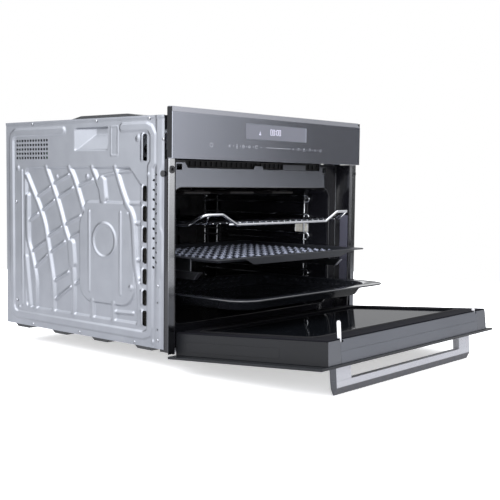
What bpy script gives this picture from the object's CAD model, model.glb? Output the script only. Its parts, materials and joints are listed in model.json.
import math
import bmesh
import bpy
import numpy as np
from mathutils import Matrix, Vector
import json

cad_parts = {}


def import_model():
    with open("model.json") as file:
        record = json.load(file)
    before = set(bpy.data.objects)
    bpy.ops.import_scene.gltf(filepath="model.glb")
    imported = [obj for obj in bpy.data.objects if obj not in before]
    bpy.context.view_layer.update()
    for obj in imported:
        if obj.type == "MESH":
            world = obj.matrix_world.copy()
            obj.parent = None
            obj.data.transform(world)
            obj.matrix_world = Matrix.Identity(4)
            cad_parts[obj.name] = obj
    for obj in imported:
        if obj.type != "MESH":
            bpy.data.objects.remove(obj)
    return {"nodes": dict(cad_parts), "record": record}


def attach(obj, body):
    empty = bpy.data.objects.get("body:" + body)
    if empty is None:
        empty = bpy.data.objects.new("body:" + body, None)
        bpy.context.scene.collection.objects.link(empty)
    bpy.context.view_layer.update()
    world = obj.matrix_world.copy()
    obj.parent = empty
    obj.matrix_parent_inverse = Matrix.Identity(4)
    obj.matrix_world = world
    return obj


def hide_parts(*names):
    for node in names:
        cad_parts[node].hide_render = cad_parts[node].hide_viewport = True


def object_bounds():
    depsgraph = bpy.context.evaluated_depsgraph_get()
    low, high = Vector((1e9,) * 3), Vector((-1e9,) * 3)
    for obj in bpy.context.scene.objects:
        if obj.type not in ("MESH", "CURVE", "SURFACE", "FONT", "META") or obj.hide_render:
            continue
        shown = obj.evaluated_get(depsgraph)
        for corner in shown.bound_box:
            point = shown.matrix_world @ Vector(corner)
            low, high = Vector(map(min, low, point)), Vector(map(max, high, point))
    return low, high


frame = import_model()
CAD_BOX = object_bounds()
NODES = frame["nodes"]
BODY_OF = {n: b for b, ns in frame["record"]["behaviour"]["bodies"].items() for n in ns}

# Design frame in mm: y is 0 at the face of the control panel, as in the CAD source.
SEAT_Y = 290.0
HINGE_Y, HINGE_Z, DOOR_OPEN = 10.0, 5.0, math.radians(85.7)
# Outer faces of the casing: half width over the side panels, back panel and top cover.
SIDE_X, BACK_Y, TOP_Z = 278.4, 535.0, 441.0
# A side panel's own (d, z) start here: d runs forward from this y, and z is measured from this height.
SIDE_REAR_Y, SIDE_FOOT_Z = 540.0, 1.0
# Front frame: its face, the inner face of its cheeks, and the cavity mouth's half width, ends and corners.
FRAME_Y, CHEEK_X = 50.0, 276.2
MOUTH_X, MOUTH_Z0, MOUTH_Z1, MOUTH_R = 250.0, 48.0, 308.5, 27.0
# Half width of the control panel and of the door, and the thickness of the door's outer glass.
FRONT_X, GLASS_T = 297.5, 4.4
# Half width and depth of the deep pan and of the air-fry tray.
TRAY_X, TRAY_D = 238.0, 355.0
# Camera solved from the photo: turn, tilt and roll in degrees, place in metres, lens in mm.
CAM_YAW, CAM_PITCH, CAM_ROLL = -49.28, -4.23, 0.66
CAM_PLACE = (-1.46984, -1.48552, 0.32096)
CAM_LENS = 66.70
# Half side of the stage floor, and its gap below the object, in metres.
FLOOR_HALF, FLOOR_GAP = 1.6, 0.0015

# Half length of the handle bar, and where its chamfer starts along the door's thickness at rest, in metres.
BAR_END = 0.2315
CHAMFER = ((HINGE_Y - SEAT_Y) * math.cos(DOOR_OPEN) + HINGE_Z * math.sin(DOOR_OPEN) - 38.0 - HINGE_Y) * 0.001


def at(x, y, z):
    """Point of the design frame, in the scene's metres."""
    return Vector((x, y - SEAT_Y, z)) * 0.001


def upright(x, z, w):
    """Point of a flat outline in the X-Z plane, w deep."""
    return at(x, w, z)


def door_at(x, y, z):
    """Point of the closed door, turned to the open rest pose."""
    c, s = math.cos(DOOR_OPEN), math.sin(DOOR_OPEN)
    v, w = y - HINGE_Y, z - HINGE_Z
    return at(x, HINGE_Y + v * c - w * s, HINGE_Z + v * s + w * c)


# ---------------------------------------------------------------- materials


def map_range(nt, source, a, b, lo, hi):
    """Value that goes from lo to hi while source goes from a to b, and stays there outside."""
    n = nt.nodes.new("ShaderNodeMapRange")
    for key, val in (("From Min", a), ("From Max", b), ("To Min", lo), ("To Max", hi)):
        n.inputs[key].default_value = val
    nt.links.new(source, n.inputs["Value"])
    return n.outputs["Result"]


def arithmetic(nt, kind, *sources):
    n = nt.nodes.new("ShaderNodeMath")
    n.operation = kind
    for source, socket in zip(sources, n.inputs):
        nt.links.new(source, socket)
    return n.outputs["Value"]


def direction(nt, source, along):
    """How far source lies along one direction."""
    n = nt.nodes.new("ShaderNodeVectorMath")
    n.operation = "DOT_PRODUCT"
    n.inputs[1].default_value = along
    nt.links.new(source, n.inputs[0])
    return n.outputs["Value"]


class Look:
    """Small builder for one node-based material."""

    def __init__(self, name):
        self.mat = bpy.data.materials.new(name)
        self.mat.use_nodes = True
        self.nt = self.mat.node_tree
        self.bsdf = self.nt.nodes["Principled BSDF"]
        self.coord = self.nt.nodes.new("ShaderNodeTexCoord").outputs["Object"]

    def put(self, **kw):
        for key, val in kw.items():
            self.bsdf.inputs[key.replace("_", " ")].default_value = val
        return self

    def link(self, a, b):
        self.nt.links.new(a, b)

    def mapped(self, stretch):
        m = self.nt.nodes.new("ShaderNodeMapping")
        m.inputs["Scale"].default_value = stretch
        self.link(self.coord, m.inputs["Vector"])
        return m.outputs["Vector"]

    def noise(self, scale, detail=3.0, stretch=(1, 1, 1)):
        n = self.nt.nodes.new("ShaderNodeTexNoise")
        n.inputs["Scale"].default_value = scale
        n.inputs["Detail"].default_value = detail
        self.link(self.mapped(stretch), n.inputs["Vector"])
        return n.outputs["Fac"]

    def axis(self, letter):
        """One coordinate of the piece's own space, in metres."""
        split = self.nt.nodes.new("ShaderNodeSeparateXYZ")
        self.link(self.coord, split.inputs["Vector"])
        return split.outputs[letter]

    def span(self, fac, lo, hi, a=0.3, b=0.7):
        return map_range(self.nt, fac, a, b, lo, hi)

    def colour(self, fac, low, high):
        m = self.nt.nodes.new("ShaderNodeMix")
        m.data_type = "RGBA"
        m.inputs["A"].default_value = (*low, 1)
        m.inputs["B"].default_value = (*high, 1)
        self.link(fac, m.inputs["Factor"])
        return m.outputs["Result"]

    def base(self, fac, low, high):
        self.link(self.colour(fac, low, high), self.bsdf.inputs["Base Color"])
        return self

    def rough(self, fac, lo, hi):
        self.link(self.span(fac, lo, hi), self.bsdf.inputs["Roughness"])
        return self

    def bump(self, fac, strength, dist=0.001):
        b = self.nt.nodes.new("ShaderNodeBump")
        b.inputs["Strength"].default_value = strength
        b.inputs["Distance"].default_value = dist
        self.link(fac, b.inputs["Height"])
        self.link(b.outputs["Normal"], self.bsdf.inputs["Normal"])
        return self


def shade(c, k):
    return tuple(min(1.0, v * k) for v in c)


def metal(name, c, lo, hi, scale=60, stretch=(1, 1, 1), spread=0.1, metallic=1.0, bump=0.05, aniso=0.0):
    k = Look(name).put(Metallic=metallic, Anisotropic=aniso)
    n = k.noise(scale, 4, stretch)
    big = k.noise(5, 2)
    k.base(k.span(big, 0, 1), shade(c, 1 - spread), shade(c, 1 + spread))
    k.rough(n, lo, hi)
    if bump:
        k.bump(n, bump, 0.0004)
    return k.mat


def paint(name, c, lo, hi, scale=90, bump=0.04, coat=0.0, spread=0.15, dist=0.0005, specular=0.5):
    k = Look(name).put(Coat_Weight=coat, Coat_Roughness=0.05, Specular_IOR_Level=specular)
    n = k.noise(scale, 3)
    big = k.noise(6, 2)
    k.base(k.span(big, 0, 1), shade(c, 1 - spread), shade(c, 1 + spread))
    k.rough(big, lo, hi)
    k.bump(n, bump, dist)
    return k.mat


def galvanised():
    k = Look("galvanised").put(Metallic=0.85)
    cloud = k.noise(22, 3)
    grain = k.noise(240, 2)
    k.base(k.span(cloud, 0, 1), (0.285, 0.298, 0.329), (0.317, 0.330, 0.364))
    k.rough(grain, 0.29, 0.32)
    return k.mat


def brushed_trim():
    """Brushed steel strip, darker towards its lower end."""
    k = Look("stainless").put(Metallic=1.0)
    k.base(k.span(k.axis("Z"), 0, 1, 0.09, 0.35), (0.13, 0.134, 0.147), (0.97, 0.98, 1.0))
    n = k.noise(90, 4, (30, 30, 1))
    k.rough(n, 0.14, 0.20)
    k.bump(n, 0.02, 0.0004)
    return k.mat


def louvred_floor():
    """Tray floor: dark sheet, with the pressed louvres rubbed bright on their crests."""
    k = Look("tray_floor").put(Metallic=0.35)
    k.base(k.span(k.axis("Z"), 0, 1, 0.1709, 0.1728), (0.028, 0.031, 0.044), (0.52, 0.56, 0.70))
    k.rough(k.noise(300, 2), 0.22, 0.32)
    return k.mat


def satin_handle():
    """Satin aluminium; the lower chamfer and the two ends of the bar are finished darker."""
    k = Look("handle_satin").put(Metallic=0.75)
    out = direction(k.nt, k.coord, (0, math.cos(DOOR_OPEN), math.sin(DOOR_OPEN)))
    low = k.span(out, 1, 0, CHAMFER - 0.0006, CHAMFER + 0.0006)
    end = k.span(arithmetic(k.nt, "ABSOLUTE", k.axis("X")), 0, 1, BAR_END - 0.0008, BAR_END)
    k.base(arithmetic(k.nt, "MAXIMUM", low, end), (0.46, 0.465, 0.497), (0.10, 0.103, 0.114))
    k.rough(k.noise(240, 4, (1, 20, 20)), 0.26, 0.34)
    return k.mat


def glowing(name, c, strength, lo=0.9, hi=1.0):
    k = Look(name).put(Roughness=0.5, Emission_Strength=strength)
    n = k.noise(300, 2)
    tint = k.colour(k.span(n, 0, 1), shade(c, lo), shade(c, hi))
    k.link(tint, k.bsdf.inputs["Emission Color"])
    k.base(n, shade(c, lo), shade(c, hi))
    return k.mat


M = {
    "galv": galvanised(),
    "plated": metal("plated_sheet", (0.50, 0.53, 0.58), 0.34, 0.46, 120, spread=0.06),
    "stainless": brushed_trim(),
    "black_sheet": paint("black_sheet", (0.018, 0.019, 0.021), 0.40, 0.52),
    "enamel": paint("black_enamel", (0.007, 0.007, 0.009), 0.12, 0.18, 260, 0.03, 0.3, dist=0.0003),
    "cavity": paint("cavity_enamel", (0.009, 0.009, 0.012), 0.20, 0.28, 420, 0.03, 0.2, dist=0.0003),
    "catch": metal("catch_plate_paint", (0.41, 0.427, 0.48), 0.18, 0.19, 500, spread=0.03, metallic=0.9,
                   bump=0.0),
    "bracket": metal("bracket_steel", (0.20, 0.206, 0.226), 0.32, 0.45, 120, spread=0.08),
    "label": paint("blank_label", (0.085, 0.085, 0.115), 0.4, 0.5, 40, 0.03, spread=0.25),
    "fold": metal("fold_edge", (0.16, 0.165, 0.175), 0.3, 0.4, 120),
    "rubber": paint("rubber", (0.018, 0.018, 0.020), 0.55, 0.68, 500, 0.10),
    "wool": paint("mineral_wool", (0.060, 0.058, 0.052), 0.9, 1.0, 300, 0.8, 0.0, 0.25, 0.003),
    "fan": metal("fan_steel", (0.35, 0.35, 0.37), 0.30, 0.42, 90),
    "motor": paint("motor_paint", (0.12, 0.13, 0.15), 0.40, 0.52),
    "heater": metal("heater_sheath", (0.018, 0.016, 0.016), 0.42, 0.6, 200, spread=0.25, metallic=0.3),
    "chrome": metal("chrome_wire", (0.66, 0.67, 0.70), 0.06, 0.14, 60, spread=0.04, bump=0.02),
    "rack": metal("rack_wire", (0.44, 0.45, 0.47), 0.12, 0.22, 60, spread=0.06, bump=0.02),
    "duct": metal("duct_sheet", (0.10, 0.104, 0.112), 0.4, 0.5, 120, spread=0.06),
    "vent": paint("vent_plastic", (0.004, 0.004, 0.005), 0.6, 0.7, 900, 0.05),
    "rail": metal("rail_steel", (0.16, 0.165, 0.185), 0.30, 0.42, 100),
    "plastic": paint("black_plastic", (0.016, 0.017, 0.019), 0.42, 0.55, 900, 0.12),
    "fascia": metal("fascia_metal", (0.49, 0.508, 0.578), 0.10, 0.14, 900, (1, 1, 1), 0.03, 0.92, 0.015),
    "strip": metal("fascia_edge", (0.25, 0.254, 0.28), 0.14, 0.20, 160, (1, 20, 20), 0.05, 0.95),
    "display": paint("display_window", (0.145, 0.149, 0.174), 0.10, 0.16, 400, 0.01, 0.4, 0.03),
    "print": glowing("symbol_print", (0.34, 0.35, 0.39), 0.03),
    "digits": glowing("lit_digits", (0.70, 0.67, 0.82), 0.75),
    "board": paint("board_green", (0.02, 0.12, 0.05), 0.30, 0.45, 400, 0.2),
    "white": paint("white_plastic", (0.60, 0.60, 0.625), 0.30, 0.40, 500, 0.04, 0.0, 0.03),
    "zinc": metal("zinc_steel", (0.40, 0.41, 0.44), 0.30, 0.42, 90),
    "screw": metal("screw_steel", (0.42, 0.43, 0.46), 0.22, 0.30, 200),
    "tray": paint("tray_enamel", (0.016, 0.0172, 0.021), 0.36, 0.44, 700, 0.04, specular=0.25),
    "sheen": louvred_floor(),
    "pan": paint("pan_enamel", (0.012, 0.013, 0.016), 0.08, 0.14, 400, 0.02, 0.7),
    "outer_glass": paint("outer_glass", (0.008, 0.009, 0.011), 0.16, 0.22, 30, 0.01, 0.0, specular=0.3),
    "inner_glass": paint("inner_glass", (0.006, 0.007, 0.009), 0.05, 0.08, 20, 0.008, 0.5),
    "middle_glass": paint("middle_glass", (0.03, 0.035, 0.038), 0.05, 0.08, 20, 0.01, 0.4),
    "door_black": paint("door_black", (0.006, 0.006, 0.008), 0.80, 0.90, 400, 0.05, specular=0.05),
    "profile": metal("door_profile", (0.088, 0.093, 0.107), 0.34, 0.44, 60, (1, 12, 12), 0.05, 0.45, 0.03),
    "cap": paint("cap_plastic", (0.055, 0.058, 0.067), 0.38, 0.48, 900, 0.04, 0.0, 0.04),
    "side": paint("door_side", (0.006, 0.0065, 0.008), 0.40, 0.50, 700, 0.05, specular=0.25),
    "silicone": paint("silicone", (0.007, 0.007, 0.008), 0.6, 0.7, 300, 0.06, specular=0.1),
    "handle": satin_handle(),
    "lamp": glowing("lamp_glass", (0.66, 0.645, 0.60), 0.34, 0.45, 1.0),
}


# ---------------------------------------------------------------- mesh helpers


def link_piece(ob, mat, node_or_body, sharp=35):
    bpy.context.scene.collection.objects.link(ob)
    ob.data.materials.clear()
    ob.data.materials.append(mat)
    ob.data.shade_smooth()
    ob.data.set_sharp_from_angle(angle=math.radians(sharp))
    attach(ob, BODY_OF.get(node_or_body, node_or_body))
    return ob


class Build:
    """Collects several shapes, in metres, into one mesh."""

    def __init__(self):
        self.v = []
        self.f = []

    def add(self, verts, faces):
        n = len(self.v)
        self.v += [tuple(p) for p in verts]
        self.f += [tuple(i + n for i in f) for f in faces]

    def rings(self, loops, cap0=False, cap1=False):
        n = len(loops[0])
        verts = [p for loop in loops for p in loop]
        faces = []
        for k in range(len(loops) - 1):
            a, b = k * n, (k + 1) * n
            faces += [(a + i, a + (i + 1) % n, b + (i + 1) % n, b + i) for i in range(n)]
        if cap0:
            faces.append(tuple(reversed(range(n))))
        if cap1:
            faces.append(tuple(range((len(loops) - 1) * n, len(loops) * n)))
        self.add(verts, faces)

    def tube(self, pts, r, n=10, closed=False):
        """Round wire along points, with domed ends where it is open."""
        pts = [Vector(p) for p in pts]
        m = len(pts)
        tang = []
        for i in range(m):
            a = pts[i - 1] if (i or closed) else pts[0]
            b = pts[(i + 1) % m] if (i < m - 1 or closed) else pts[-1]
            tang.append((b - a).normalized())
        side = tang[0].orthogonal().normalized()
        loops = []
        for p, t in zip(pts, tang):
            side = (side - t * side.dot(t)).normalized()
            up = t.cross(side)
            loops.append([p + r * (math.cos(a) * side + math.sin(a) * up)
                          for a in (2 * math.pi * k / n for k in range(n))])
        if closed:
            # Turn the last ring so that it meets the first one without a twist.
            first = loops[0][0]
            shift = min(range(n), key=lambda k: (loops[-1][k] - first).length)
            last = loops[0][-shift:] + loops[0][:-shift] if shift else loops[0]
            self.rings(loops + [last])
            return

        def dome(loop, c, t):
            return [c + (q - c) * 0.6 + t * r * 0.55 for q in loop]

        first = dome(loops[0], pts[0], -tang[0])
        last = dome(loops[-1], pts[-1], tang[-1])
        self.rings([first] + loops + [last], True, True)

    def strip(self, pts, prof, normal):
        """Profile (outward, up) swept along a flat closed path; up is the normal."""
        m = len(pts)
        loops = []
        for i in range(m):
            t = (pts[(i + 1) % m] - pts[i - 1]).normalized()
            out = t.cross(normal)
            loops.append([pts[i] + out * u + normal * w for u, w in prof])
        self.rings(loops + [loops[0]])

    def slab(self, poly, place, w0, w1):
        """Prism on a flat outline; place(a, b, w) gives the point."""
        self.rings([[place(a, b, w0) for a, b in poly], [place(a, b, w1) for a, b in poly]], True, True)

    def piece(self, name, mat, owner, replaces=(), bevel=0.0, sharp=35):
        me = bpy.data.meshes.new(name)
        me.from_pydata(self.v, [], self.f)
        me.update()
        ob = bpy.data.objects.new(name, me)
        tidy_normals(me)
        link_piece(ob, mat, owner, sharp)
        if bevel:
            add_bevel(ob, bevel)
        if replaces:
            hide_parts(*replaces)
        return ob


def tidy_normals(me):
    bm = bmesh.new()
    bm.from_mesh(me)
    bmesh.ops.remove_doubles(bm, verts=bm.verts, dist=1e-6)
    bmesh.ops.recalc_face_normals(bm, faces=bm.faces)
    bm.to_mesh(me)
    bm.free()


def add_bevel(ob, width_mm, segments=2):
    b = ob.modifiers.new("edges", "BEVEL")
    b.width = width_mm * 0.001
    b.segments = segments
    b.limit_method = "ANGLE"
    b.angle_limit = math.radians(32)
    b.harden_normals = True


def refine(node, mat, bevel, segments):
    """Copy of a CAD node with merged flat faces and rounded edges, which replaces it."""
    me = NODES[node].data.copy()
    bm = bmesh.new()
    bm.from_mesh(me)
    bmesh.ops.remove_doubles(bm, verts=bm.verts, dist=2e-6)
    bmesh.ops.dissolve_limit(bm, angle_limit=math.radians(0.6), verts=bm.verts, edges=bm.edges)
    bm.to_mesh(me)
    bm.free()
    ob = bpy.data.objects.new(node + "_look", me)
    link_piece(ob, M[mat], node, 32)
    add_bevel(ob, bevel, segments)
    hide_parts(node)
    return ob


def finish_node(node, mat):
    """A CAD node that is shown as it is, in one of the looks."""
    ob = NODES[node]
    for s in ob.material_slots:
        s.material = M[mat]


def fillet(pts, r, steps=5, closed=False):
    """Path with its corners rounded to radius r."""
    out = []
    n = len(pts)
    for i, p in enumerate(pts):
        if not closed and i in (0, n - 1):
            out.append(p)
            continue
        a, b = pts[i - 1] - p, pts[(i + 1) % n] - p
        ang = a.angle(b)
        cut = min(r / math.tan(ang / 2), a.length * 0.49, b.length * 0.49)
        p0, p1 = p + a.normalized() * cut, p + b.normalized() * cut
        for k in range(steps + 1):
            t = k / steps
            out.append(p0 * (1 - t) ** 2 + p * 2 * t * (1 - t) + p1 * t * t)
    return out


def round_loop(x0, x1, y0, y1, r, n=8):
    """Rounded rectangle as (a, b) pairs, anticlockwise."""
    out = []
    corners = ((x1 - r, y0 + r, -90), (x1 - r, y1 - r, 0), (x0 + r, y1 - r, 90), (x0 + r, y0 + r, 180))
    for cx, cy, a0 in corners:
        for k in range(n + 1):
            a = math.radians(a0 + 90 * k / n)
            out.append((cx + r * math.cos(a), cy + r * math.sin(a)))
    return out


# ---------------------------------------------------------------- pressed sheets


def smooth(t):
    """Soft step from 0 to 1."""
    t = np.clip(t, 0, 1)
    return t * t * (3 - 2 * t)


def sd_box(u, v, u0, u1, v0, v1, r=0.0):
    """Distance to a rounded rectangle, negative inside it."""
    cu, cv, hu, hv = (u0 + u1) / 2, (v0 + v1) / 2, (u1 - u0) / 2, (v1 - v0) / 2
    du, dv = np.abs(u - cu) - hu + r, np.abs(v - cv) - hv + r
    return np.hypot(np.maximum(du, 0), np.maximum(dv, 0)) + np.minimum(np.maximum(du, dv), 0) - r


def sd_path(u, v, pts):
    """Distance to a chain of straight lines."""
    best = np.full(u.shape, 1e9)
    for (a, b), (c, d) in zip(pts[:-1], pts[1:]):
        e, f = c - a, d - b
        t = np.clip(((u - a) * e + (v - b) * f) / (e * e + f * f), 0, 1)
        best = np.minimum(best, np.hypot(u - a - t * e, v - b - t * f))
    return best


def curve(pts, steps=6):
    """Catmull-Rom curve through 2D points."""
    p = [pts[0]] + list(pts) + [pts[-1]]
    out = []
    for i in range(1, len(p) - 2):
        a, b, c, d = (np.array(q, float) for q in p[i - 1:i + 3])
        for k in range(steps):
            t = k / steps
            second, third = 2 * a - 5 * b + 4 * c - d, 3 * b - a - 3 * c + d
            out.append(tuple(0.5 * (2 * b + (c - a) * t + second * t * t + third * t ** 3)))
    out.append(tuple(pts[-1]))
    return out


def ridge(dist, half, slope):
    """1 within half of the line, falling to 0 over slope."""
    return smooth((half + slope - dist) / slope)


def sheet(name, u_range, v_range, step, height, holes, place, mat, owner, replaces, edge=1.0):
    """Pressed sheet: a fine grid shaped by height(u, v), with real holes and turned-in edges."""
    nu = int(round((u_range[1] - u_range[0]) / step)) + 1
    nv = int(round((v_range[1] - v_range[0]) / step)) + 1
    u, v = np.meshgrid(np.linspace(*u_range, nu), np.linspace(*v_range, nv), indexing="ij")
    # Grid points near the edge of a hole move onto it, and the squares inside holes are left out.
    s = holes(u, v)
    e = 0.05
    gu = (holes(u + e, v) - holes(u - e, v)) / (2 * e)
    gv = (holes(u, v + e) - holes(u, v - e)) / (2 * e)
    near = (np.abs(s) < 0.62 * step) & (np.hypot(gu, gv) > 0.5)
    inner = np.zeros_like(near)
    inner[1:-1, 1:-1] = True
    near &= inner
    u = np.where(near, u - s * gu, u)
    v = np.where(near, v - s * gv, v)
    mid = holes((u[:-1, :-1] + u[1:, 1:]) / 2, (v[:-1, :-1] + v[1:, 1:]) / 2)
    h = height(u, v)
    idx = np.arange(nu * nv).reshape(nu, nv)
    i, j = np.nonzero(mid > 0)
    quads = np.stack([idx[i, j], idx[i + 1, j], idx[i + 1, j + 1], idx[i, j + 1]], 1)
    # An edge that only one square has is on the rim, and is turned in.
    count = {}
    for q in quads.tolist():
        for a, b in zip(q, q[1:] + q[:1]):
            k = (min(a, b), max(a, b))
            count[k] = None if k in count else (a, b)
    rim = [e for e in count.values() if e]
    pts = [place(a, b, c) for a, b, c in zip(u.ravel().tolist(), v.ravel().tolist(), h.ravel().tolist())]
    back = {}
    for e in rim:
        for a in e:
            if a not in back:
                back[a] = len(pts)
                pts.append(place(float(u.flat[a]), float(v.flat[a]), float(h.flat[a]) - edge))
    faces = quads.tolist() + [(b, a, back[a], back[b]) for a, b in rim]
    me = bpy.data.meshes.new(name)
    me.from_pydata([tuple(p) for p in pts], [], faces)
    bm = bmesh.new()
    bm.from_mesh(me)
    bmesh.ops.delete(bm, geom=[w for w in bm.verts if not w.link_faces], context="VERTS")
    bmesh.ops.recalc_face_normals(bm, faces=bm.faces)
    bm.to_mesh(me)
    bm.free()
    ob = bpy.data.objects.new(name, me)
    link_piece(ob, mat, owner, 50)
    if replaces:
        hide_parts(*replaces)
    return ob


# Side panel features in the panel's own (d, z): ribs and cross creases of the lattice, bosses with their
# radius, the vent holes' rows and columns, the ends of the louvre slots, the frame's bead, the front flange.
RIBS = [
    [(78, 326), (103, 288), (121, 260), (138, 226), (148, 188), (159, 140), (166, 105), (169, 45)],
    [(145, 343), (166, 305), (186, 267), (207, 216), (221, 188), (231, 146), (234, 105), (234, 45)],
    [(221, 343), (238, 319), (264, 262)],
    [(293, 343), (306, 322), (318, 300), (328, 278)],
    [(362, 343), (379, 305), (393, 278), (412, 250), (417, 209), (421, 157), (431, 105), (431, 46)],
    [(80, 284), (80, 195), (93, 157), (107, 105), (107, 45)],
    [(72, 152), (86, 50)],
    [(294, 78), (294, 45)],
    [(358, 78), (358, 45)],
]
CROSS = [
    ((107, 282), (155, 303)), ((128, 255), (169, 276)), ((81, 231), (112, 246)), ((169, 312), (217, 329)),
    ((183, 283), (229, 302)), ((148, 201), (193, 221)), ((157, 169), (202, 191)), ((98, 129), (145, 160)),
    ((209, 229), (253, 246)), ((224, 202), (253, 213)), ((245, 306), (291, 319)), ((316, 327), (357, 333)),
    ((372, 335), (410, 338)), ((172, 110), (214, 129)), ((176, 71), (222, 99)), ((236, 106), (255, 116)),
    ((90, 165), (140, 190)), ((393, 275), (436, 276)), ((414, 238), (436, 238)), ((424, 168), (440, 168)),
    ((427, 132), (440, 132)), ((360, 62), (412, 64)),
]
BOSSES = [(43, 271, 4), (43, 57, 4), (50, 42, 6), (48, 343, 7), (178, 325, 5), (275, 326, 6), (409, 113, 8),
          (428.6, 399, 8), (459, 331, 5), (470, 16, 6)]
VENT_ROWS, VENT_COLS = 5, 12
LOUVRES = [(356, 407)] + [(z, z + 30) for z in (280, 242, 202, 162.5, 123, 83, 43.5)]
FRAME_BEAD = [
    (203, 418.5), (40, 418.5), (30, 413), (25.5, 404), (25.5, 45), (31, 31), (44, 26), (445, 26), (460, 31),
    (463.5, 45), (463.5, 345), (470, 353), (470, 405), (463, 416), (452, 420), (385, 420),
]
FLANGE = [(487, 440), (487, 352), (481, 340), (481, 232), (487, 220), (487, 150), (481, 140), (481, 5)]


def side_holes(d, z):
    s = np.full(d.shape, 1e3)
    for i in range(VENT_COLS):
        for j in range(VENT_ROWS):
            u, v = 45.5 + 9.4 * i, 364.5 + 9.05 * j
            s = np.minimum(s, sd_box(d, z, u - 2.8, u + 2.8, v - 2.6, v + 2.6, 1.6))
    for z0, z1 in LOUVRES:
        s = np.minimum(s, sd_box(d, z, 444.2, 453.4, z0, z1, 3.6))
    for k in range(10):
        s = np.minimum(s, np.hypot(d - 479, z - 330.7 + 18.1 * k) - 2.4)
        s = np.minimum(s, np.hypot(d - 472.8, z - 320.3 + 18.1 * k) - 2.4)
    for z0 in (92, 41):
        s = np.minimum(s, np.hypot(d - 484.5, z - z0) - 1.8)
    return s


def side_height(d, z):
    # Raised bead that frames the panel.
    h = 2.3 * ridge(sd_path(d, z, FRAME_BEAD), 6.0, 3.0)
    # Lattice of shallow pockets, with the flat pad left standing in it.
    pocket = sd_box(d, z, 74, 437, 45, 345, 12)
    corner = (d - 437) + (z - 345) + 34
    pocket = np.maximum(pocket, corner / math.sqrt(2))
    pad = np.minimum(sd_box(d, z, 255, 416, 78, 262, 36), sd_box(d, z, 268, 398, 180, 275, 14))
    recess = smooth(-pocket / 3.5) * smooth(pad / 3.5)
    ribs = np.zeros(d.shape)
    for pts in RIBS:
        ribs = np.maximum(ribs, ridge(sd_path(d, z, curve(pts)), 3.0, 4.4))
    blobs = [((225, 188), (229, 150), 8), ((321, 318), (326, 285), 8), ((431, 120), (433, 60), 4)]
    for a, b, half in blobs:
        ribs = np.maximum(ribs, ridge(sd_path(d, z, [a, b]), half, 5))
    cross = np.zeros(d.shape)
    for a, b in CROSS:
        cross = np.maximum(cross, ridge(sd_path(d, z, [a, b]), 1.0, 3.8))
    h = h - 3.8 * recess * (1 - np.maximum(ribs, 0.72 * cross)) + 0.7 * ribs
    # Beads and ring on the pad, and the bead beside the lattice.
    for x in (285.5, 378.6):
        h = h + 1.6 * ridge(sd_path(d, z, [(x, 98), (x, 257)]), 0.8, 2.6)
    h = h + 1.4 * ridge(sd_path(d, z, [(62, 50), (62, 338)]), 0.6, 2.4)
    h = h + 1.5 * ridge(np.abs(np.hypot(d - 331, z - 201) - 33), 1.2, 3.0)
    # Scooped carrying recess: deep under its upper edge, running out towards the rear.
    inside = smooth(-sd_box(d, z, 239, 341, 378, 423, 4) / 2.2)
    slope = np.minimum(np.clip((z - 376) / 34, 0, 1), np.clip((d - 238) / 52, 0, 1))
    h = h - 15.0 * inside * (0.12 + 0.88 * slope)
    # Outline of a blank label field, and the step along the top edge.
    h = h + 0.5 * ridge(np.abs(sd_box(d, z, 351, 371, 367, 423, 2)), 0.5, 1.3)
    h = h + 1.0 * smooth((z - 433.5) / 3.0)
    # Hoods beside the louvre slots.
    for z0, z1 in LOUVRES:
        hood = ridge(sd_path(d, z, [(441.5, z0 + 4), (441.5, z1 - 4)]), 1.0, 6.0)
        h = h + 2.8 * hood * smooth((446.5 - d) / 2.0)
    # Turned flange in front of the frame bead.
    h = h + 0.9 * smooth((d - 474) / 8) * ridge(sd_path(d, z, FLANGE), 8, 3)
    for bd, bz, r in BOSSES:
        h = h + 1.5 * ridge(np.hypot(d - bd, z - bz), 0.25 * r, 0.75 * r)
    return h


def side_skin(side):
    def place(d, z, h):
        return at(side * (SIDE_X + h), SIDE_REAR_Y - d, z + SIDE_FOOT_Z)

    name = "right" if side > 0 else "left"
    sheet(name + "_side_skin", (5, 500), (5, 440.5), 1.55, side_height, side_holes, place, M["galv"],
          name + "_side_panel", (name + "_side_panel",), 1.0)


side_skin(-1)
side_skin(1)


def cross_screw(b, place, r, h):
    """Domed screw head with a cross recess; place(a, c, w) maps the head's plane, and w is its height."""
    n = 16
    loops = []
    for rr, ww in ((r, 0), (r, 0.35 * h), (0.9 * r, 0.7 * h), (0.62 * r, h), (0.5 * r, h)):
        loops.append([place(rr * math.cos(2 * math.pi * k / n), rr * math.sin(2 * math.pi * k / n), ww)
                      for k in range(n)])
    star = []
    for k in range(n):
        rr = 0.46 * r if k % 4 == 0 else (0.3 * r if k % 2 else 0.14 * r)
        a = 2 * math.pi * k / n
        star.append((rr * math.cos(a), rr * math.sin(a)))
    loops.append([place(a, c, h) for a, c in star])
    loops.append([place(0.7 * a, 0.7 * c, 0.35 * h) for a, c in star])
    b.rings(loops, False, True)


def casing_screws():
    b = Build()
    for side in (-1, 1):
        spots = [(SIDE_REAR_Y - y, 435) for y in (440, 232, 80)]
        spots += [(SIDE_REAR_Y - y, 10) for y in (440, 285, 120)]
        spots += [(485, 123), (485, 20.7), (43, 57), (43, 271), (497.5, 395.5)]
        for d, z in spots:
            base = float(side_height(np.array([d]), np.array([z]))[0])

            def place(a, c, w, d=d, z=z, base=base, side=side):
                return at(side * (SIDE_X + base + w), SIDE_REAR_Y - d + a, z + SIDE_FOOT_Z + c)

            cross_screw(b, place, 3.3, 1.6)
    b.piece("casing_screw_heads", M["screw"], "casing_screws", ("casing_screws",))


casing_screws()


# ---------------------------------------------------------------- back, top and base


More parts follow.
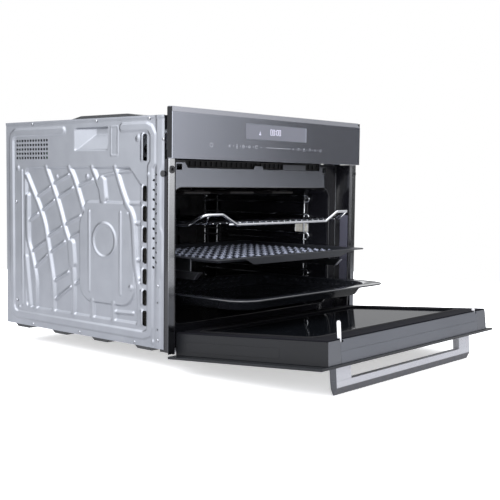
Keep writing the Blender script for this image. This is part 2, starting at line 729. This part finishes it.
def back_holes(u, v):
    s = np.hypot(u - 140, v - 400) - 9.2
    for i in range(16):
        s = np.minimum(s, sd_box(u, v, -236 + 14 * i, -230 + 14 * i, 365, 420, 3))
    return s


def back_height(u, v):
    h = -1.6 * smooth(-(np.abs(sd_box(u, v, -262, 262, 22, 340, 26)) - 7) / 3)
    for x in (-150, 0, 150):
        h = h - 1.6 * ridge(sd_path(u, v, [(x, 70), (x, 300)]), 4, 4)
    h = h - 1.4 * ridge(np.abs(np.hypot(u, v - 179) - 58), 3, 3)
    h = h - 1.2 * ridge(np.abs(sd_box(u, v, 70, 250, 360, 426, 8)), 2, 3)
    return h


sheet("back_skin", (-277.2, 277.2), (7, 440), 2.6, back_height, back_holes,
      lambda u, v, h: at(u, BACK_Y + h, v), M["plated"], "back_panel", ("back_panel",), 0.8)


def top_holes(u, v):
    s = np.full(u.shape, 1e3)
    for i in range(20):
        s = np.minimum(s, sd_box(u, v, -190 + 20 * i, -182 + 20 * i, 400, 500, 4))
    return s


def top_height(u, v):
    h = -1.2 * smooth(-(np.abs(sd_box(u, v, -262, 262, 352, 522, 18)) - 5) / 3)
    h = h - 1.0 * ridge(sd_path(u, v, [(-240, 70), (240, 70)]), 5, 4)
    return h


sheet("top_skin", (-277.2, 277.2), (41, 534), 2.6, top_height, top_holes,
      lambda u, v, h: at(u, v, TOP_Z + h), M["plated"], "top_cover", ("top_cover",), 0.8)

refine("duct_cover", "black_sheet", 1.6, 3)
refine("base_plate", "black_sheet", 0.5, 2)
refine("cable_gland", "plastic", 0.8, 3)


def back_screws():
    b = Build()
    for x, z in [(x, z) for x in (-268, 268) for z in (14, 220, 430)] + [(-120, 430), (120, 430)]:
        cross_screw(b, lambda a, c, w, x=x, z=z: at(x + a, BACK_Y + w, z + c), 3.3, 1.6)
    b.piece("back_screw_heads", M["screw"], "back_panel")


back_screws()


def back_vent_mesh():
    """Fine black mesh fixed behind the slots of the back panel."""
    b = Build()
    b.slab(round_loop(-240, -16, 362, 423, 4, 4), upright, BACK_Y - 1.7, BACK_Y - 1.2)
    b.piece("back_vent_mesh", M["vent"], "back_panel")


back_vent_mesh()


# ---------------------------------------------------------------- front of the casing

refine("front_frame", "enamel", 0.4, 2)
refine("catch_plate", "catch", 0.35, 2)
refine("side_trims", "stainless", 0.35, 2)
refine("fixing_bushes", "rubber", 0.7, 3)
refine("switch_bracket", "bracket", 0.3, 2)
refine("vent_grille", "vent", 0.3, 2)


def grille_mesh():
    """Black insect mesh right behind the vent grille."""
    b = Build()
    pts = [v.co for v in NODES["vent_grille"].data.vertices]
    back = max(p.y for p in pts) * 1000 + SEAT_Y
    half = max(p.x for p in pts) * 1000 - 2
    z0, z1 = min(p.z for p in pts) * 1000 + 1, max(p.z for p in pts) * 1000 - 1
    b.slab(round_loop(-half, half, z0, z1, 1, 2), upright, back + 0.1, back + 0.4)
    b.piece("vent_grille_mesh", M["vent"], "vent_grille")


grille_mesh()


def mouth_lip():
    """Rolled edge around the cavity mouth."""
    roll = 0.6
    loop = round_loop(-MOUTH_X - roll, MOUTH_X + roll, MOUTH_Z0 - roll, MOUTH_Z1 + roll, MOUTH_R + roll, 12)
    b = Build()
    b.tube([upright(x, z, FRAME_Y) for x, z in loop], 0.0013, 10, True)
    b.piece("mouth_rolled_edge", M["enamel"], "front_frame")


mouth_lip()


def cheek_details():
    """Blank label on the right cheek, and the folded corner where each cheek meets the front frame."""
    b = Build()
    outline = round_loop(14.5, 35.5, 92, 247, 1.0, 3)
    b.slab(outline, lambda y, z, w: at(w, y, z), CHEEK_X - 0.45, CHEEK_X - 0.15)
    b.piece("cheek_label", M["label"], "front_frame")
    c = Build()
    for side in (-1, 1):
        c.tube([at(side * (CHEEK_X - 0.6), FRAME_Y - 0.6, z) for z in (20, 343)], 0.0007, 8)
    c.piece("cheek_corner_folds", M["fold"], "front_frame")


cheek_details()


# ---------------------------------------------------------------- control panel

refine("fascia_panel", "fascia", 0.7, 3)
refine("fascia_top_strip", "strip", 0.5, 3)
refine("fascia_carrier", "black_sheet", 0.3, 2)
refine("control_housing", "plastic", 0.8, 2)
refine("display_window", "display", 0.25, 2)


def fascia_ends():
    """Dark end plates of the control panel."""
    b = Build()
    outline = round_loop(0.9, 13.4, 361.8, 453.6, 0.8, 3)
    for side in (-1, 1):
        b.slab(outline, lambda y, z, w, side=side: at(side * w, y, z), FRONT_X - 0.2, FRONT_X + 0.1)
    b.piece("fascia_end_plates", M["side"], "fascia_panel")


fascia_ends()


def trim_clips():
    """Spring clips behind the two trims, which close the fixing bushes from the rear."""
    b = Build()
    outline = round_loop(284.0, 295.4, 332, 350, 1.5, 3)
    for side in (-1, 1):
        b.slab(outline, lambda x, z, w, side=side: at(side * x, w, z), 12.3, 13.1)
    b.piece("trim_spring_clips", M["side"], "side_trims")


trim_clips()


def ribbon(b, pts, w, y0, y1, closed=False):
    """Flat printed stroke in the X-Z plane."""
    pts = [Vector((p[0], p[1])) for p in pts]
    m = len(pts)
    left, right = [], []
    for i in range(m):
        a = pts[i - 1] if (i or closed) else pts[0]
        c = pts[(i + 1) % m] if (i < m - 1 or closed) else pts[-1]
        t = (c - a).normalized()
        n = Vector((-t.y, t.x)) * w / 2
        left.append(pts[i] + n)
        right.append(pts[i] - n)
    loops = [[at(p.x, y0, p.y), at(q.x, y0, q.y), at(q.x, y1, q.y), at(p.x, y1, p.y)]
             for p, q in zip(left, right)]
    if closed:
        b.rings(loops + [loops[0]])
    else:
        b.rings(loops, True, True)


def arc(cx, cz, r, a0, a1, n=14):
    turns = [math.radians(a0 + (a1 - a0) * k / n) for k in range(n + 1)]
    return [(cx + r * math.cos(a), cz + r * math.sin(a)) for a in turns]


def symbols():
    b = Build()
    z = 388.7
    y0, y1, w = -0.2, 0.05, 0.5

    def stroke(*pts, k=w):
        ribbon(b, pts, k, y0, y1)

    def ring(x, lift, r, a0, a1, n):
        ribbon(b, arc(x, z + lift, r, a0, a1, n), w, y0, y1)

    def box(x0, x1, z0, z1):
        stroke((x0, z0), (x1, z0), (x1, z1), (x0, z1), (x0, z0))

    # Short dividers between the symbols.
    for x, half in ((-133, 1.5), (-113, 1.5), (-95, 1.5), (-75, 1.5), (62.7, 1.4), (79, 1.4), (100, 1.4),
                    (119, 1.4), (138, 1.4)):
        stroke((x, z - half), (x, z + half), k=0.6)
    # Power: broken ring and a bar.
    ring(-195, 0, 4.2, 125, 415, 24)
    stroke((-195, z + 1.2), (-195, z + 5.2))
    # Programme, thermometer, clock, bell, list and minus on the left.
    stroke((-146, z - 3), (-146, z + 3))
    stroke((-143, z - 3), (-143, z + 3))
    stroke((-146, z), (-143, z))
    ring(-123, -2.6, 1.9, 0, 360, 14)
    stroke((-123, z - 0.6), (-123, z + 4.4), k=0.9)
    ring(-104, 0, 3.1, 60, 400, 18)
    stroke((-104, z), (-104, z + 2.0))
    stroke((-104, z), (-102.4, z))
    ring(-86.5, -0.5, 2.6, -20, 200, 12)
    stroke((-90, z - 1.6), (-83, z - 1.6))
    stroke((-86.5, z - 3), (-86.5, z - 2.2), k=1.4)
    ring(-65, 0, 3.2, 40, 330, 18)
    stroke((-61.5, z + 0.6), (-61.5, z + 3.4))
    stroke((-52.4, z), (-47.6, z))
    # Slider.
    stroke((-34.6, z), (44, z), k=0.7)
    # Plus, lamp, lock, loop, play and stop on the right.
    stroke((50.6, z), (55.4, z))
    stroke((53, z - 2.4), (53, z + 2.4))
    ring(71, 0.6, 2.2, -60, 240, 14)
    stroke((70, z - 2.8), (72, z - 2.8))
    box(87, 93, z - 3, z + 0.6)
    ring(90, 0.6, 2.0, 0, 180, 12)
    ring(110, 0, 3.0, -30, 250, 16)
    stroke((127.4, z - 2.6), (131.4, z), (127.4, z + 2.6), (127.4, z - 2.6))
    box(145.6, 150.4, z - 2.4, z + 2.4)
    b.piece("panel_symbols", M["print"], "touch_icons", ("touch_icons",), sharp=30)


symbols()


def clock_digits():
    """Generic clock reading of four noughts and a colon, with a small pot symbol."""
    b = Build()
    # Front and back of the digits, and their lower and upper ends.
    y0, y1 = 0.12, 0.32
    z0, z1 = 414.0, 425.6

    # Width of a nought and the cut of its corners.
    w, c = 4.8, 1.3

    def nought(x):
        pts = [(x + c, z0), (x + w - c, z0), (x + w, z0 + c), (x + w, z1 - c), (x + w - c, z1), (x + c, z1),
               (x, z1 - c), (x, z0 + c)]
        ribbon(b, pts, 0.62, y0, y1, True)

    for x in (-21, -13.2, -1.6, 6.2):
        nought(x)
    for z in (417.3, 422.3):
        ribbon(b, [(-4.9, z), (-3.7, z)], 1.3, y0, y1)
    ribbon(b, [(-55.6, 413.6), (-51.4, 413.6), (-51.4, 415.4), (-55.6, 415.4), (-55.6, 413.6)], 0.7, y0, y1)
    ribbon(b, [(-53.5, 416.6), (-53.5, 420.0)], 0.7, y0, y1)
    b.piece("clock_digits", M["digits"], "display_window", sharp=30)


clock_digits()


# ---------------------------------------------------------------- cavity

finish_node("cavity", "cavity")
refine("fan_cover", "cavity", 0.6, 2)
for look, nodes in {
    "wool": ("insulation",),
    "fan": ("convection_fan",),
    "motor": ("fan_motor", "blower_motor"),
    "heater": ("ring_element", "grill_element", "base_element"),
    "duct": ("lamp_housing", "air_duct", "blower_housing"),
    "zinc": ("heat_sensors", "hinge_springs"),
    "plastic": ("blower_impeller", "terminal_block"),
    "board": ("circuit_boards",),
    "lamp": ("lamp_bulb",),
    "middle_glass": ("door_middle_glass",),
    "side": ("door_bottom_profile",),
}.items():
    for node in nodes:
        finish_node(node, look)
refine("hinge_boxes", "zinc", 0.4, 2)
refine("hinge_arms", "zinc", 0.4, 2)


def lamp_cover():
    """Ribbed glass lens in a thin bright frame on the right wall of the cavity."""
    y_c, z_c = 122.8, 213.2
    b = Build()
    # Four steps across each of the 14 ribs.
    steps = 14 * 4
    m = steps + 1
    cols = [(244.7 - 0.7 * abs(math.sin(math.pi * i / 4)), y_c - 17.8 + 35.6 * i / steps) for i in range(m)]
    # The upper and lower edges of the lens are set back into the wall.
    rows = ((-12.3, 0.6), (-11.6, 0.0), (11.6, 0.0), (12.3, 0.6))
    verts = [at(x + back, y, z_c + dz) for dz, back in rows for x, y in cols]
    faces = [(k + i, k + i + 1, k + m + i + 1, k + m + i) for k in (0, m, 2 * m) for i in range(steps)]
    b.add(verts, faces)
    b.piece("lamp_lens_ribbed", M["lamp"], "lamp_lens", ("lamp_lens",))
    f = Build()
    path = [at(244.9, y, z) for y, z in round_loop(y_c - 18.2, y_c + 18.2, z_c - 12.7, z_c + 12.7, 3, 5)]
    f.tube(path, 0.001, 8, True)
    f.piece("lamp_frame", M["chrome"], "lamp_housing")


lamp_cover()


# ---------------------------------------------------------------- shelf supports and shelves

# Side racks: the rods' distance from the middle, the same at their bent noses, their radius, the lowest rod,
# the step from one pair of rods to the next and the gap within a pair. Then the posts.
ROD_X, NOSE_X, ROD_R, ROD_Z, ROD_PITCH, ROD_GAP = 236.6, 241.8, 2.5, 59.9, 43.045, 15.0
POST_X, POST_R = 241.2, 2.6
POST_YS = (113, 388, 430)


def side_rack(name, side):
    b = Build()
    for i in range(6):
        z = ROD_Z + ROD_PITCH * i
        nose = NOSE_X if i else ROD_X
        pts = [at(side * ROD_X, 432, z), at(side * ROD_X, 112, z), at(side * nose, 103, z),
               at(side * nose, 99, z + ROD_GAP / 2), at(side * nose, 103, z + ROD_GAP),
               at(side * ROD_X, 112, z + ROD_GAP), at(side * ROD_X, 432, z + ROD_GAP)]
        b.tube(fillet(pts, 0.006, 5), ROD_R * 0.001, 10)
    for y in POST_YS:
        b.tube([at(side * POST_X, y, 61), at(side * POST_X, y, 295)], POST_R * 0.001, 10)
    for y in (POST_YS[0], POST_YS[-1]):
        for z in (82, 284):
            b.tube([at(side * POST_X, y, z), at(side * 245.4, y, z)], 0.002, 10)
            b.tube([at(side * 244.6, y, z), at(side * 245.6, y, z)], 0.0045, 14)
    return b.piece(name, M["rack"], "side_racks")


left_rack = side_rack("left_side_rack", -1)
side_rack("right_side_rack", 1)
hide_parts("side_racks")

refine("telescopic_rails", "rail", 0.3, 2)
refine("rail_runners", "rail", 0.4, 2)


def wire_shelf():
    b = Build()
    # Height of the outer wire, its front and rear, and its distance from the middle.
    z, y0 = 238.0, -20.0
    y1 = y0 + 353
    s = 233.5
    side_bend = [(143, y0, z), (184, y0, z + 20), (222, y0, z + 20), (228, y0 + 6, z + 19),
                 (230, y0 + 22, z + 12), (230.3, y0 + 36, z + 4), (s, y0 + 44, z)]
    right = [at(*q) for q in side_bend]
    left = [at(-x, y, w) for x, y, w in reversed(side_bend)]
    b.tube(fillet(left + right + [at(s, y1, z), at(-s, y1, z)], 0.012, 6, True), 0.0028, 12, True)
    b.tube([at(-150, y0 + 14, z - 0.3), at(150, y0 + 14, z - 0.3)], 0.0022, 10)
    for y in (y0 + 125, y0 + 240):
        b.tube([at(-s, y, z - 0.3), at(s, y, z - 0.3)], 0.0022, 10)
    for i in range(-11, 12):
        b.tube([at(19.5 * i, y0 + 14, z + 2.6), at(19.5 * i, y1, z + 2.6)], 0.0015, 8)
    for side in (-1, 1):
        b.tube([at(side * 222, y0, z + 20), at(side * 214.5, y0 + 14, z + 2.6)], 0.0016, 8)
    b.piece("wire_shelf_wires", M["chrome"], "wire_rack", ("wire_rack",))


wire_shelf()


def tray_loops(rings, y0, z1, n=10):
    """rings: (inset, drop, corner radius) from the rim inwards."""
    out = []
    for inset, drop, r in rings:
        loop = round_loop(-TRAY_X + inset, TRAY_X - inset, y0 + inset, y0 + TRAY_D - inset, r, n)
        out.append([at(x, y, z1 - drop) for x, y in loop])
    return out


def deep_pan():
    b = Build()
    y0, z1 = -124.5, 107
    top = [(1.6, 3.6, 43), (0.3, 2.9, 45), (0, 1.6, 45), (0.5, 0.5, 44.5), (1.6, 0, 43.5), (22, 0.3, 46),
           (25, 1.0, 48), (28, 3.4, 52), (36.5, 19, 50), (39.5, 22.6, 49), (44, 24.2, 47), (50, 24.8, 44)]
    under = [(51, 26, 44), (43, 25.3, 47), (38, 23, 49), (27, 4.6, 52), (24, 2.2, 48), (3, 1.3, 42),
             (1.6, 2.2, 43)]
    b.rings(tray_loops(top + under + top[:1], y0, z1, 12))
    floor, base = tray_loops([top[-1], under[0]], y0, z1, 12)
    b.add(floor, [tuple(range(len(floor)))])
    b.add(base, [tuple(reversed(range(len(base))))])
    b.piece("deep_pan_shell", M["pan"], "deep_pan", ("deep_pan",), sharp=50)


deep_pan()


def fry_tray():
    b = Build()
    y0, z1 = -61, 178
    top = [(1.2, 2.6, 9), (0.2, 1.9, 12), (0.1, 0.9, 12), (0.9, 0.1, 11), (2.2, 0, 10), (17, 0.2, 18),
           (19, 1.2, 19), (22, 3.5, 22), (25.2, 6.0, 24), (27.5, 7.2, 24)]
    under = [(27.5, 9.4, 24), (24, 8.6, 23), (20.5, 5.8, 20), (17.5, 1.4, 18), (3, 1.1, 9)]
    b.rings(tray_loops(top, y0, z1))
    b.rings(tray_loops(under, y0, z1))
    lip = [(-168, 177.2), (-136, 163.8), (148, 163.8), (190, 177.2)]
    b.slab(lip, lambda x, z, w: at(x, y0 + w + (177.2 - z) * 0.16, z), 0.2, 1.3)
    b.piece("fry_tray_rim", M["tray"], "air_fry_tray", ("air_fry_tray",), sharp=50, bevel=0.25)

    # Herringbone of pressed louvres, each open along one long side: spacing across and along, and their turn.
    px, py, ang = 22.0, 19.0, math.radians(38)

    def cell(u, v):
        i = np.floor((u + 210) / px)
        a = (u + 210) - (i + 0.5) * px
        flip = np.where(np.mod(i, 2) < 1, 1.0, -1.0)
        j = np.floor((v + 1) / py)
        c = (v + 1) - (j + 0.5) * py
        p = a * math.cos(ang) + flip * c * math.sin(ang)
        q = -flip * a * math.sin(ang) + c * math.cos(ang)
        return p, q

    def height(u, v):
        p, q = cell(u, v)
        room = smooth(-sd_box(u, v, -204, 204, -25, 257, 10) / 4)
        return 3.1 * np.exp(-(p / 7.0) ** 4) * np.exp(-(q / 3.0) ** 4) * room

    def holes(u, v):
        p, q = cell(u, v)
        s = np.maximum(np.abs(p) - 5.2, np.abs(q - 4.3) - 0.9)
        return np.where(sd_box(u, v, -196, 196, -17, 249, 8) < 0, s, 5.0)

    sheet("fry_tray_floor", (-211.5, 211.5), (-34.5, 267.5), 1.45, height, holes,
          lambda u, v, h: at(u, v, 170.2 + h), M["sheen"], "air_fry_tray", (), 1.0)


fry_tray()


# ---------------------------------------------------------------- door

refine("door_outer_glass", "outer_glass", 0.5, 3)
refine("door_inner_glass", "inner_glass", 0.4, 2)
refine("door_inner_frame", "door_black", 0.7, 3)
refine("door_top_profile", "profile", 0.45, 3)
refine("door_end_caps", "cap", 0.6, 3)
refine("door_side_profiles", "side", 0.4, 2)
refine("catch_tongues", "white", 0.7, 3)
refine("handle_bar", "handle", 0.5, 3)
refine("handle_posts", "handle", 0.15, 2)


def door_gasket():
    """Hollow silicone bead on the inner frame, with a small foot on each side."""
    # The inner frame's face, on the closed door.
    face_y = 46.5
    pts = [door_at(x, face_y, z) for x, z in round_loop(-250, 250, 40, 306, 19, 12)]
    normal = (door_at(0, face_y + 1, 0) - door_at(0, face_y, 0)).normalized()
    arch = [(0.0024 * math.cos(math.pi * k / 12), 0.0017 * math.sin(math.pi * k / 12)) for k in range(1, 12)]
    foot = [(0.0046, 0.0), (0.0046, 0.0005), (0.0030, 0.0006)]
    b = Build()
    b.strip(pts, foot + arch + [(-u, w) for u, w in reversed(foot)], normal)
    b.piece("door_gasket_bead", M["silicone"], "door_gasket", ("door_gasket",))


door_gasket()


def side_outline():
    """Faint raised outline of the blank field on each long side of the door."""
    b = Build()
    for side in (-1, 1):
        # The side profile leans in by 2.8 mm over its 39.4 mm depth.
        pts = [door_at(side * (275.55 - 2.8 * (n - 4.6) / 39.4), n, s)
               for s, n in round_loop(30, 250, 12, 30, 2.5, 4)]
        b.tube(pts, 0.0003, 6, True)
    b.piece("door_side_outline", M["side"], "door_side_profiles")


side_outline()


def handle_screw_heads():
    b = Build()
    for x in (-220, -200, 200, 220):
        cross_screw(b, lambda a, c, w, x=x: door_at(x + a, GLASS_T + w, 327.5 + c), 4.4, 2.8)
    b.piece("handle_screw_heads", M["screw"], "handle_screws", ("handle_screws",))


handle_screw_heads()


# ---------------------------------------------------------------- stage, light and camera


def stage_floor():
    z = CAD_BOX[0][2] - FLOOR_GAP
    corners = ((-FLOOR_HALF, -FLOOR_HALF), (FLOOR_HALF, -FLOOR_HALF), (FLOOR_HALF, FLOOR_HALF),
               (-FLOOR_HALF, FLOOR_HALF))
    me = bpy.data.meshes.new("stage_floor")
    me.from_pydata([(x, y, z) for x, y in corners], [], [(0, 1, 2, 3)])
    ob = bpy.data.objects.new("stage_floor", me)
    bpy.context.scene.collection.objects.link(ob)
    k = Look("pale_floor").put(Roughness=0.95, Specular_IOR_Level=0.0)
    k.put(Emission_Color=(1, 1, 1, 1))
    # The floor is dimmer in mirror-like reflections than it looks directly.
    path = k.nt.nodes.new("ShaderNodeLightPath")
    k.link(k.span(path.outputs["Is Glossy Ray"], 0.52, 0.20, 0, 1), k.bsdf.inputs["Emission Strength"])
    dim = k.nt.nodes.new("ShaderNodeMix")
    dim.data_type = "RGBA"
    dim.inputs["B"].default_value = (0.40, 0.40, 0.41, 1)
    k.link(path.outputs["Is Glossy Ray"], dim.inputs["Factor"])
    k.link(k.colour(k.noise(2, 2), (0.86, 0.86, 0.87), (0.88, 0.88, 0.89)), dim.inputs["A"])
    k.link(dim.outputs["Result"], k.bsdf.inputs["Base Color"])
    me.materials.append(k.mat)


stage_floor()


def world():
    w = bpy.data.worlds.new("studio")
    bpy.context.scene.world = w
    w.use_nodes = True
    nt = w.node_tree
    bg = nt.nodes["Background"]
    where = nt.nodes.new("ShaderNodeTexCoord").outputs["Generated"]
    split = nt.nodes.new("ShaderNodeSeparateXYZ")
    nt.links.new(where, split.inputs["Vector"])
    east, north, up = (split.outputs[letter] for letter in "XYZ")

    # Brightness by direction: dark to the right near the horizon, bright overhead, to the left and in front.
    across = map_range(nt, east, 0.625, 0.790, 0.87, 0.0)
    glow = map_range(nt, up, 0.11, 0.20, 0.02, 0.70)
    left = map_range(nt, east, -0.25, -0.65, 0.0, 0.95)
    upward = map_range(nt, up, -0.45, 0.65, 0.55, 1.10)
    front = map_range(nt, north, 0.66, 0.87, 1.40, 0.06)
    total = arithmetic(nt, "ADD", arithmetic(nt, "ADD", across, glow), left)
    total = arithmetic(nt, "MULTIPLY", arithmetic(nt, "MULTIPLY", total, upward), front)
    # Soft panel behind the oven on the right, seen in the door glass.
    panel = direction(nt, where, (0.757, 0.636, 0.151))
    total = arithmetic(nt, "ADD", total, map_range(nt, panel, 0.93, 0.985, 0.0, 0.30))
    scale = nt.nodes.new("ShaderNodeVectorMath")
    scale.operation = "SCALE"
    scale.inputs[0].default_value = (0.97, 0.98, 1.0)
    nt.links.new(total, scale.inputs["Scale"])
    # The camera sees the background as plain white.
    lp = nt.nodes.new("ShaderNodeLightPath")
    mix = nt.nodes.new("ShaderNodeMix")
    mix.data_type = "RGBA"
    mix.inputs["B"].default_value = (1, 1, 1, 1)
    nt.links.new(lp.outputs["Is Camera Ray"], mix.inputs["Factor"])
    nt.links.new(scale.outputs["Vector"], mix.inputs["A"])
    nt.links.new(mix.outputs["Result"], bg.inputs["Color"])
    bg.inputs["Strength"].default_value = 1.0
    bpy.context.scene.view_settings.view_transform = "Standard"


world()


def area(name, loc, target, size, power):
    d = bpy.data.lights.new(name, "AREA")
    d.shape = "SQUARE"
    d.size = size
    d.energy = power
    ob = bpy.data.objects.new(name, d)
    bpy.context.scene.collection.objects.link(ob)
    ob.location = loc
    ob.rotation_euler = (Vector(target) - Vector(loc)).to_track_quat("-Z", "Y").to_euler()


area("key_light", (-2.6, -1.9, 1.9), (0, 0, 0.2), 0.5, 12)
area("top_light", (0.2, -0.2, 2.8), (0, -0.1, 0.2), 2.4, 4)


def camera():
    yaw, pitch, roll = (math.radians(a) for a in (CAM_YAW, CAM_PITCH, CAM_ROLL))
    fw = Vector((-math.sin(yaw) * math.cos(pitch), math.cos(yaw) * math.cos(pitch), math.sin(pitch)))
    rt = Vector((math.cos(yaw), math.sin(yaw), 0))
    up = rt.cross(fw)
    rt2 = math.cos(roll) * rt + math.sin(roll) * up
    up2 = -math.sin(roll) * rt + math.cos(roll) * up
    cam = bpy.data.cameras.new("camera")
    cam.sensor_width = 36
    cam.lens = CAM_LENS
    cam.clip_start = 0.05
    cam.clip_end = 60
    ob = bpy.data.objects.new("camera", cam)
    bpy.context.scene.collection.objects.link(ob)
    m = Matrix.Identity(4)
    for k in range(3):
        m[k][0], m[k][1], m[k][2] = rt2[k], up2[k], -fw[k]
    m.translation = CAM_PLACE
    ob.matrix_world = m
    bpy.context.scene.camera = ob


camera()

import json
